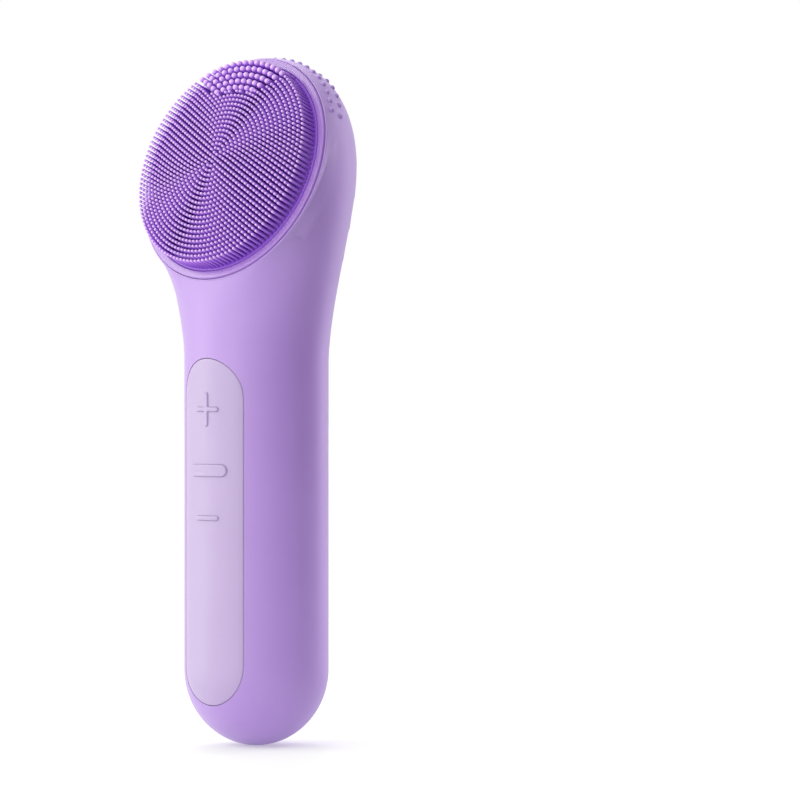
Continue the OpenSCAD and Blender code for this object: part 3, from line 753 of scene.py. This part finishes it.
def key(name, bars, material, body, node):
    """Raised sign made of one or two bars, its top curved like the panel."""
    parts = [curved_bar(name, w / 2, STROKE / 2 if h is None else h / 2, z, -KEY_PROUD,
                        lambda x, zz: np.full_like(x, KEY_ROOT), material, upright=up, fillet=KEY_FILLET)
             for w, h, z, up in bars]
    if len(parts) > 1:
        cut(parts[0], parts[1:], union=True)
    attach(parts[0], body)
    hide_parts(node)


def keys(material):
    key("plus_sign", [(SIGN_W, None, PLUS_Z, False), (PLUS_H, None, PLUS_Z, True)], material,
        "plus_button", "plus_key")
    key("power_sign", [(POWER_W, POWER_H, POWER_Z, False)], material, "power_button", "power_key")
    key("minus_sign", [(SIGN_W, None, MINUS_Z, False)], material, "minus_button", "minus_key")


def bright_plate(material):
    plate = curved_bar("bright_plate", (PLATE_Z[1] - PLATE_Z[0]) / 2, PANEL_W / 2, sum(PLATE_Z) / 2, 0.0,
                       inner_wall(PLATE_T), material, upright=True, side=1, fillet=0.15)
    cut(plate, [rod("hole", RECESS_R, z, CUT_NEAR, CUT_FAR) for z in CONTACT_Z])
    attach(plate, "body")
    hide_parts("mirror_plate")


# ------------------------------------------------------------------ CAD pieces that stay
def dress(materials):
    """Give each CAD node that stays its material, by its slot in the record."""
    for row in frame["record"]["subparts"]:
        node = frame["nodes"][row["node"]]
        material = materials.get(row["material_slot"])
        if material is None:
            continue
        node.data.materials.clear()
        node.data.materials.append(material)


# ------------------------------------------------------------------ stage, light and camera
def area_light(name, place, target, size, power, colour=(1, 1, 1)):
    light = bpy.data.lights.new(name, "AREA")
    light.shape = "RECTANGLE"
    light.size, light.size_y = size
    light.energy = power
    light.color = colour
    lamp = bpy.data.objects.new(name, light)
    lamp.location = place
    lamp.rotation_euler = (Vector(target) - Vector(place)).to_track_quat("-Z", "Y").to_euler()
    bpy.context.scene.collection.objects.link(lamp)


def around(azimuth, distance, height):
    """Point at an azimuth round the part, where 0 is in front of the brush."""
    a = math.radians(azimuth)
    return (distance * math.sin(a), -distance * math.cos(a), height)


def stage():
    """White sweep: a pale floor with a painted glow, dim near the part and brightening into the white all
    round it; on the dark side of the room the far floor is painted dark.
    """
    floor_z = cad_box[0].z
    mesh = bpy.data.meshes.new("floor")
    corners = [(x * FLOOR_HALF, y * FLOOR_HALF, floor_z) for x, y in ((-1, -1), (1, -1), (1, 1), (-1, 1))]
    mesh.from_pydata(corners, [], [(0, 1, 2, 3)])
    paint = Paint("pale_floor", Roughness=0.6, Specular_IOR_Level=0.2, Emission_Strength=1.0)
    length = paint.node("ShaderNodeVectorMath", {"operation": "LENGTH"}, {0: paint.place()})
    reach = Wire(paint, length.outputs["Value"])
    far = ((reach - FLOOR_NEAR) * (1 / (FLOOR_FAR - FLOOR_NEAR))).clamp()
    cloud = paint.noise(3, 2.0) * 0.02
    paint.colour(paint.blend(far, (0.60, 0.60, 0.60, 1), (0, 0, 0, 1)))
    way = paint.node("ShaderNodeVectorMath", {"operation": "NORMALIZE"}, {0: paint.place()})
    facing = paint.node("ShaderNodeVectorMath", {"operation": "DOT_PRODUCT"},
                        {0: way.outputs[0], 1: around(DARK_SIDE, 1.0, 0.0)})
    side = (Wire(paint, facing.outputs["Value"]) - DARK_EDGE[0]) * (1 / (DARK_EDGE[1] - DARK_EDGE[0]))
    shade = side.clamp() * ((reach - DARK_NEAR) * (1 / (DARK_FAR - DARK_NEAR))).clamp()
    # Painted shade: on the dark side of the room the far floor's glow is painted dark.
    white = paint.blend(shade, (1, 1, 1, 1), (WORLD_DARK, WORLD_DARK, WORLD_DARK, 1))
    # Painted light: the floor glows, dimly near the part to lift its shadow, and white further out.
    glow = paint.blend(far, (0.33, 0.33, 0.34, 1), white)
    paint.tree.links.new(glow, paint.shader.inputs["Emission Color"])
    paint.roughness(cloud + 0.6)
    mesh.materials.append(paint.material)
    floor = bpy.data.objects.new("floor", mesh)
    bpy.context.scene.collection.objects.link(floor)
    bpy.context.scene.view_settings.view_transform = "Standard"


def white_room():
    """White all round, with a dark side that gives the round shapes their shaded edge."""
    world = bpy.data.worlds.new("studio")
    world.use_nodes = True
    tree = world.node_tree
    place = tree.nodes.new("ShaderNodeTexCoord")
    dark = around(DARK_SIDE, 1.0, 0.0)
    dot = tree.nodes.new("ShaderNodeVectorMath")
    dot.operation = "DOT_PRODUCT"
    dot.inputs[1].default_value = dark
    tree.links.new(place.outputs["Generated"], dot.inputs[0])
    edge = tree.nodes.new("ShaderNodeMapRange")
    edge.interpolation_type = "SMOOTHSTEP"
    for key, value in (("From Min", DARK_EDGE[0]), ("From Max", DARK_EDGE[1]),
                       ("To Min", WORLD_LIGHT), ("To Max", WORLD_DARK)):
        edge.inputs[key].default_value = value
    tree.links.new(dot.outputs["Value"], edge.inputs["Value"])
    tree.links.new(edge.outputs["Result"], tree.nodes["Background"].inputs["Strength"])
    tree.nodes["Background"].inputs["Color"].default_value = (1.0, 1.0, 1.0, 1.0)
    bpy.context.scene.world = world


def studio_lights():
    area_light("key", around(-48, 0.80, 0.25), AIM, (0.35, 0.90), 3.6, WARM)
    area_light("front", around(4, 0.85, 0.35), AIM, (0.40, 0.80), 2.6, WARM)
    area_light("rim", around(170, 0.6, 0.10), AIM, (0.08, 0.7), 1.7, COOL)
    area_light("back_key", around(232, 0.55, 0.70), AIM, (0.4, 0.4), 1.6)


def camera():
    """Level view from the front, turned to one side, with the handle left of the middle."""
    view = bpy.data.cameras.new("camera")
    view.sensor_width = SENSOR_W
    view.lens = SENSOR_W * VIEW_DISTANCE / VIEW_FRAME_H
    view.shift_x = VIEW_SHIFT
    spot = bpy.data.objects.new("camera", view)
    height = (VIEW_Z - GRIP_Z) * MM
    spot.location = around(VIEW_AZIMUTH, VIEW_DISTANCE, height)
    spot.rotation_euler = (math.radians(90), 0, math.radians(VIEW_AZIMUTH))
    bpy.context.scene.collection.objects.link(spot)
    bpy.context.scene.camera = spot


# ------------------------------------------------------------------ build
camera()
stage()
white_room()
studio_lights()
body_silicone = soft_silicone("lavender_silicone", tint(170, 131, 213), tint(165, 125, 209))
panel_silicone = soft_silicone("lilac_silicone", tint(174, 150, 203), tint(169, 144, 199))
ring_silicone = soft_silicone("ring_silicone", tint(162, 116, 208), tint(154, 106, 202), 0.36)
plating = mirror_plating()
dress({
    "shell_plastic": moulded_plastic("shell_plastic", tint(232, 230, 236), tint(222, 220, 228), 0.5),
    "dark_plastic": moulded_plastic("dark_plastic", tint(38, 38, 42), tint(28, 28, 32), 0.45),
    "seal_rubber": moulded_plastic("seal_rubber", tint(40, 38, 44), tint(30, 28, 34), 0.75),
    "lead_insulation": moulded_plastic("lead_insulation", tint(190, 30, 34), tint(170, 24, 28), 0.4),
    "cell_wrap": moulded_plastic("cell_wrap", tint(52, 112, 186), tint(42, 98, 172), 0.3),
    "steel": worked_metal("bright_steel", tint(206, 208, 212), tint(190, 192, 198), 0.3),
    "copper": worked_metal("copper_brass", tint(210, 140, 96), tint(190, 120, 78), 0.35, (1, 1, 1)),
    "contact_metal": worked_metal("nickel_contact", tint(128, 126, 132), tint(108, 106, 114), 0.25,
                                  (1, 1, 1)),
    "board": circuit_board(),
})
sleeve(body_silicone)
head_ring(ring_silicone)
brush_pad(bristle_silicone())
keypad(panel_silicone)
keys(panel_silicone)
bright_plate(plating)
